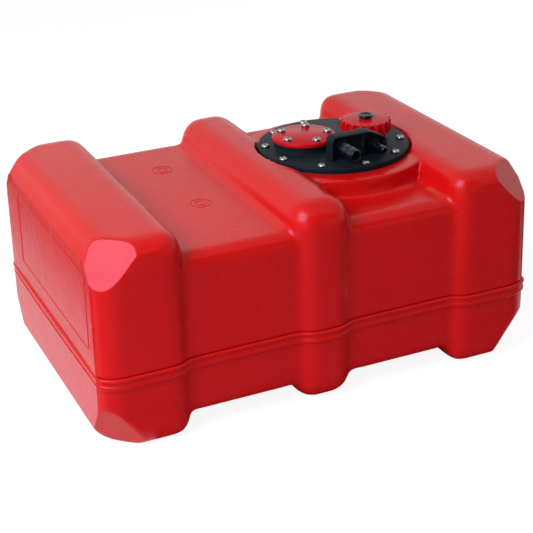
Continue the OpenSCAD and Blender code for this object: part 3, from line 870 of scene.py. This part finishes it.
class FUELTANK_OT_cap(Operator):
    """Filler cap with a scalloped grip and a hollow underside"""
    bl_idname = "fuel_tank.cap"
    bl_label = "Filler cap"

    def execute(self, context):
        f = settings().fittings
        low, high = ends_of("filler_cap")
        cap = revolve("filler_cap_moulding", [
            (0, low), (f.cap_r - 0.0006, low), (f.cap_r, low + 0.0006), (f.cap_r, high - 0.0022),
            (f.cap_r - 0.0003, high - 0.0014), (f.cap_r - 0.0011, high - 0.0009), (f.knob_r + 0.0012, high),
            (0, high)], FILLER, steps=192)
        reach = f.cap_r + f.scallop_r - f.scallop_deep
        groove = add_drum("grooves", f.scallop_r, FILLER + Vector((reach, 0, low - OVER)),
                          high - low + 2 * OVER, 28)
        with editing(groove, "VERT"):
            select_all()
            bpy.ops.mesh.spin(steps=f.scallops - 1, angle=tau * (1 - 1 / f.scallops), dupli=True,
                              center=FILLER, axis=UP)
        combine(cap, groove, "DIFFERENCE")
        bore = add_drum("bore", f.cap_bore_r, FILLER + Vector((0, 0, low - OVER)),
                        high - low - f.cap_top_t + OVER, 96)
        combine(cap, bore, "DIFFERENCE")
        soften(cap, width=0.0005, degrees=30, segments=3)
        clean(cap)
        smooth(cap)
        hand_over(cap, "cap", "red_cap", "cap_red", "filler_cap")
        return {"FINISHED"}


class FUELTANK_OT_knob(Operator):
    """Vent knob with a dished top and its stem"""
    bl_idname = "fuel_tank.knob"
    bl_label = "Vent knob"

    def execute(self, context):
        f = settings().fittings
        low, high = ends_of("vent_knob")
        seal_low, seal_high = ends_of("vent_seal")
        clip_low, clip_high = ends_of("vent_retainer")
        foot = seal_low + 0.0001
        knob = revolve("vent_button", [
            (0, low), (f.stem_r - 0.0004, low), (f.stem_r, low + 0.0004), (f.stem_r, clip_low),
            (f.stem_r - 0.0006, clip_low), (f.stem_r - 0.0006, clip_high), (f.stem_r, clip_high),
            (f.stem_r, seal_high), (f.skirt_r - 0.0012, seal_high), (f.skirt_r - 0.0012, foot),
            (f.skirt_r - 0.0003, foot), (f.skirt_r, foot + 0.0003), (f.skirt_r - 0.0001, foot + 0.0010),
            (f.skirt_r - 0.0004, foot + 0.0018), (f.knob_r - 0.0006, high - 0.0016),
            (f.knob_r - 0.0001, high - 0.0011), (f.knob_r, high - 0.0007),
            (f.knob_r - 0.0003, high - 0.0002), (f.knob_r - 0.0009, high),
            (f.knob_r - 0.0018, high - 0.0001), (f.knob_r - 0.0026, high - 0.0008), (0, high - 0.001)],
            FILLER)
        smooth(knob)
        hand_over(knob, "knob", "black_plastic", "tail_black", "vent_knob")
        return {"FINISHED"}


class FUELTANK_OT_tails(Operator):
    """Fuel and vent hose tails, each with a hexagon, grooved lands and a bore"""
    bl_idname = "fuel_tank.tails"
    bl_label = "Hose tails"

    def execute(self, context):
        f = settings().fittings
        self.tail("fuel_tail", "fuel_barb", f.fuel_land_r, f.fuel_hex, f.fuel_bore_r)
        self.tail("vent_tail", "vent_barb", f.vent_land_r, f.vent_hex, f.vent_bore_r)
        return {"FINISHED"}

    def tail(self, name, node, land_r, hex_w, bore_r):
        low, high = low_of(node), high_of(node)
        x, z = (low.x + high.x) / 2, (low.z + high.z) / 2
        wall_y = low_of(node + "_seal").y
        length_all = wall_y - low.y
        hex_t, tip, groove, groove_deep, lands = 0.0045, 0.003, 0.0015, 0.0008, 3
        stub_l, stub_wall = 0.005, 0.001
        pitch = (length_all - hex_t - tip) / lands
        root_r = land_r - groove_deep
        profile = [(bore_r, -stub_l), (bore_r + stub_wall, -stub_l), (bore_r + stub_wall, 0), (root_r, 0)]
        for i in range(lands):
            start = hex_t + i * pitch
            end = start + pitch
            profile += [(root_r, start + groove * 0.8), (land_r - 0.0002, start + groove),
                        (land_r, start + groove + 0.0003), (land_r, end - 0.0003),
                        (land_r - 0.0002, end - 0.0001), (root_r, end)]
        end = length_all
        profile = profile[:-1] + [(land_r - 0.0002, end - tip), (root_r, end - 0.0006),
                                  (root_r - 0.0005, end), (bore_r + 0.0004, end), (bore_r, end - 0.0004)]
        body = revolve(name, profile, (x, wall_y, z), axis=FRONT, closed=True)
        smooth(body, 25)
        nut = add_drum("nut", hex_w / sqrt(3), (x, wall_y, z), hex_t, 6, FRONT, turn=30)
        bore = add_drum("bore", root_r - 0.0006, (x, wall_y + OVER, z), hex_t + 2 * OVER, 48, FRONT)
        combine(nut, bore, "DIFFERENCE")
        soften(nut, width=0.0005, degrees=40, segments=2)
        smooth(nut, 35)
        hand_over(join(name, [body, nut]), "tank", "black_gloss", "tail_black", node)


class FUELTANK_OT_screws(Operator):
    """Cross-recess pan-head screws of the plate and of the disc"""
    bl_idname = "fuel_tank.screws"
    bl_label = "Screws"

    def execute(self, context):
        f = settings().fittings
        for ring, node, at, radius, count, first in (
                ("plate_screw", "flange_screws", FLANGE, f.flange_ring, f.flange_screws, -90),
                ("disc_screw", "sender_screws", SENDER, f.sender_ring, f.sender_screws, 60)):
            seat = high_of(node).z - f.head_h
            screw = self.pan_head(f, seat - low_of(node).z)
            for i in range(count):
                turn = radians(first + 360 * i / count)
                place = Vector((at.x + radius * cos(turn), at.y + radius * sin(turn), seat))
                spin = Matrix.Rotation(radians(137.5 * i + 20), 4, "Z")
                copy = copy_of(screw, f"{ring}_{i + 1:02d}", Matrix.Translation(place) @ spin)
                hand_over(copy, "tank", "steel", "steel", node)
            bpy.data.objects.remove(screw)
        return {"FINISHED"}

    def pan_head(self, f, shank):
        """Screw with a domed head and a cross recess that narrows downwards"""
        r, h = f.head_r, f.head_h
        half_l, half_w, deep = 0.0027, 0.00065, 0.0019
        screw = revolve("screw", [
            (0, -shank), (f.shank_r - 0.0006, -shank), (f.shank_r, -shank + 0.0006), (f.shank_r, 0),
            (r - 0.0002, 0), (r, 0.0003), (r, h * 0.36), (r * 0.97, h * 0.52), (r * 0.88, h * 0.7),
            (r * 0.74, h * 0.86), (r * 0.55, h * 0.96), (r * 0.3, h), (0, h)], (0, 0, 0), steps=40)
        for turn in (0, 1):
            slot = add_block("slot", (-half_l, -half_w, h - deep), (half_l, half_w, h + OVER))
            with editing(slot, "VERT") as mesh:
                pick(mesh, mesh.verts, lambda v: v.co.z < h)
                bpy.ops.transform.resize(value=(0.55, 0.8, 1))
            if turn:
                slot.data.transform(Matrix.Rotation(radians(90), 4, "Z"))
            combine(screw, slot, "DIFFERENCE")
        clean(screw)
        smooth(screw, 32)
        return screw


class FUELTANK_OT_small_parts(Operator):
    """Finishes of the gaskets, seals, washers, inserts and pickup, which keep their solids' shapes"""
    bl_idname = "fuel_tank.small_parts"
    bl_label = "Small parts"

    def execute(self, context):
        finishes = {
            "rubber": ("flange_gasket", "sender_gasket", "cap_gasket", "vent_seal", "fuel_barb_seal",
                       "vent_barb_seal"),
            "steel": ("sender_washers", "vent_retainer"),
            "brass": ("flange_inserts", "sender_inserts"),
            "natural": ("cap_liner", "pickup_strainer"),
            "black": ("pickup_tube",),
        }
        for finish, nodes in finishes.items():
            for node in nodes:
                dress(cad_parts[node].data, finish)
        return {"FINISHED"}


# The studio
FLOOR_SIDE = 16
FLOOR_Z = -0.0005
PAPER = (0.80, 0.80, 0.80, 1)
FAINT_PAPER = (0.22, 0.22, 0.22, 1)
PAPER_GLOW = 0.90
# Black of cards seen only in the tank's gloss, where they paint dark reflections and the shade under the
# tank
GLOSS_SHADE_BLACK = (0.01, 0.01, 0.01, 1)
GLOSS_SHADE_CARDS = {
    "front": ((-1.2, -2.2, 0.0), (2.0, -0.19, 0.002)),
    "upright": ((-1.2, -2.22, 0.0), (2.8, -2.2, 2.4)),
    "far_left": ((-2.4, -0.1, 0.0), (-0.34, 2.2, 0.002)),
    "far_right": ((0.34, -0.1, 0.0), (2.4, 2.2, 0.002)),
    # painted shade: stands for the shadowed floor under the tank in the tank's reflections
    "under": ((-0.192, -0.19, -0.0004), (0.245, 0.19, -0.0001)),
}
LAMP_LIFT = 0.11
SENSOR_WIDTH = 36


class FUELTANK_OT_stage(Operator):
    """Pale floor, soft lamps, white surround and the camera"""
    bl_idname = "fuel_tank.stage"
    bl_label = "Studio"

    def execute(self, context):
        s = settings().studio
        scene = context.scene
        scene.view_settings.view_transform = "Standard"
        self.floor()
        self.cards()
        self.surround(s, scene)
        self.lamp("key", (-0.69, -0.30, 0.66), distance=1.7, side=s.key_side, power=s.key_power,
                  tint=(0.73, 0.687, 1.0))
        self.lamp("fill", (0.55, -0.80, 0.12), distance=2.0, side=1.0, power=s.fill_power,
                  tint=(1.0, 0.98, 0.95))
        self.lamp("side", (1, 0.35, 0.12), distance=2.0, side=1.0, power=s.side_power,
                  tint=(1.0, 0.98, 0.95), mirrored=False)
        self.camera(s, scene)
        return {"FINISHED"}

    def seen(self, tree):
        """1 for what the camera sees directly, in a gloss or through glass"""
        path = tree.nodes.new("ShaderNodeLightPath")
        total = path.outputs["Is Camera Ray"]
        for kind in ("Is Glossy Ray", "Is Transmission Ray"):
            add = tree.nodes.new("ShaderNodeMath")
            add.operation, add.use_clamp = "ADD", True
            tree.links.new(total, add.inputs[0])
            tree.links.new(path.outputs[kind], add.inputs[1])
            total = add.outputs[0]
        return total

    def floor(self):
        """White floor that keeps a soft shadow; what is seen of it glows a little"""
        clear_selection()
        bpy.ops.mesh.primitive_plane_add(size=FLOOR_SIDE, location=(0, 0, FLOOR_Z))
        floor = settle("floor")
        nodes = Nodes("white_floor")
        paper = nodes.add("ShaderNodeBsdfDiffuse", Color=PAPER)
        faint = nodes.add("ShaderNodeBsdfDiffuse", Color=FAINT_PAPER)
        glow = nodes.add("ShaderNodeEmission", Strength=PAPER_GLOW)
        sheet, mix = nodes.add("ShaderNodeAddShader"), nodes.add("ShaderNodeMixShader")
        nodes.link(glow.outputs[0], sheet.inputs[0])
        nodes.link(faint.outputs[0], sheet.inputs[1])
        nodes.link(self.seen(nodes.tree), mix.inputs["Fac"])
        nodes.link(paper.outputs[0], mix.inputs[1])
        nodes.link(sheet.outputs[0], mix.inputs[2])
        nodes.link(mix.outputs[0], nodes.tree.nodes["Material Output"].inputs["Surface"])
        floor.data.materials.append(nodes.material)

    def cards(self):
        """Black cards round and under the tank, seen only in its gloss: they paint dark reflections into
        its sheen, and the card under the tank paints the shade beneath it into them
        """
        card = join("black_card", [add_block(name, *corners) for name, corners in GLOSS_SHADE_CARDS.items()])
        nodes = Nodes("black_card")
        for socket, value in (("Base Color", GLOSS_SHADE_BLACK), ("Roughness", 1), ("Specular IOR Level", 0)):
            nodes.shader.inputs[socket].default_value = value
        card.data.materials.append(nodes.material)
        card.visible_camera = card.visible_shadow = card.visible_diffuse = card.visible_transmission = False

    def surround(self, s, scene):
        scene.world = world = bpy.data.worlds.new("white_surround")
        world.use_nodes = True
        tree = world.node_tree
        background = tree.nodes["Background"]
        background.inputs["Color"].default_value = (1, 1, 1, 1)
        strength = tree.nodes.new("ShaderNodeMapRange")
        strength.inputs["To Min"].default_value = s.ambient
        strength.inputs["To Max"].default_value = 1
        tree.links.new(self.seen(tree), strength.inputs["Value"])
        tree.links.new(strength.outputs["Result"], background.inputs["Strength"])

    def lamp(self, name, direction, distance, side, power, tint, mirrored=True):
        data = bpy.data.lights.new(name, "AREA")
        data.size, data.energy, data.color = side, power, tint
        lamp = new_object(name, data)
        direction = Vector(direction).normalized()
        lamp.location = direction * distance + UP * LAMP_LIFT
        lamp.rotation_euler = direction.to_track_quat("Z", "Y").to_euler()
        lamp.visible_glossy = mirrored

    def camera(self, s, scene):
        level = cos(s.elevation)
        back = Vector((sin(s.azimuth) * level, -cos(s.azimuth) * level, sin(s.elevation)))
        right = Vector((cos(s.azimuth), sin(s.azimuth), 0))
        over = back.cross(right)
        side = cos(s.roll) * right + sin(s.roll) * over
        top = -sin(s.roll) * right + cos(s.roll) * over
        middle = Vector((0, 0, settings().shell.high / 2))
        eye = middle + back * s.distance + side * s.slide - top * s.drop
        data = bpy.data.cameras.new("camera")
        data.sensor_width = SENSOR_WIDTH
        data.lens = s.focal / PHOTO_SIDE * data.sensor_width
        camera = new_object("camera", data)
        camera.matrix_world = Matrix((side, top, back)).transposed().to_4x4()
        camera.location = eye
        scene.camera = camera


STEPS = (
    FUELTANK_OT_stage, FUELTANK_OT_shell, FUELTANK_OT_flange, FUELTANK_OT_disc, FUELTANK_OT_cap,
    FUELTANK_OT_knob, FUELTANK_OT_tails, FUELTANK_OT_screws, FUELTANK_OT_small_parts,
)


class FUELTANK_PT_panel(Panel):
    """Lists the tank's pieces"""
    bl_idname = "FUELTANK_PT_panel"
    bl_label = "Fuel tank"
    bl_space_type = "VIEW_3D"
    bl_region_type = "UI"
    bl_category = "Fuel tank"

    def draw(self, context):
        for step in STEPS:
            self.layout.operator(step.bl_idname)


CLASSES = (
    ShellSizes, FlangeSizes, FittingSizes, FinishColours, StageSettings, FuelTankSettings, *STEPS,
    FUELTANK_PT_panel,
)


def register():
    for cls in CLASSES:
        bpy.utils.register_class(cls)
    bpy.types.Scene.fuel_tank = PointerProperty(type=FuelTankSettings)


def unregister():
    del bpy.types.Scene.fuel_tank
    for cls in reversed(CLASSES):
        bpy.utils.unregister_class(cls)


def main():
    register()
    bpy.ops.fuel_tank.stage()
    bpy.ops.fuel_tank.shell()
    bpy.ops.fuel_tank.flange()
    bpy.ops.fuel_tank.disc()
    bpy.ops.fuel_tank.cap()
    bpy.ops.fuel_tank.knob()
    bpy.ops.fuel_tank.tails()
    bpy.ops.fuel_tank.screws()
    bpy.ops.fuel_tank.small_parts()


if __name__ == "__main__":
    main()
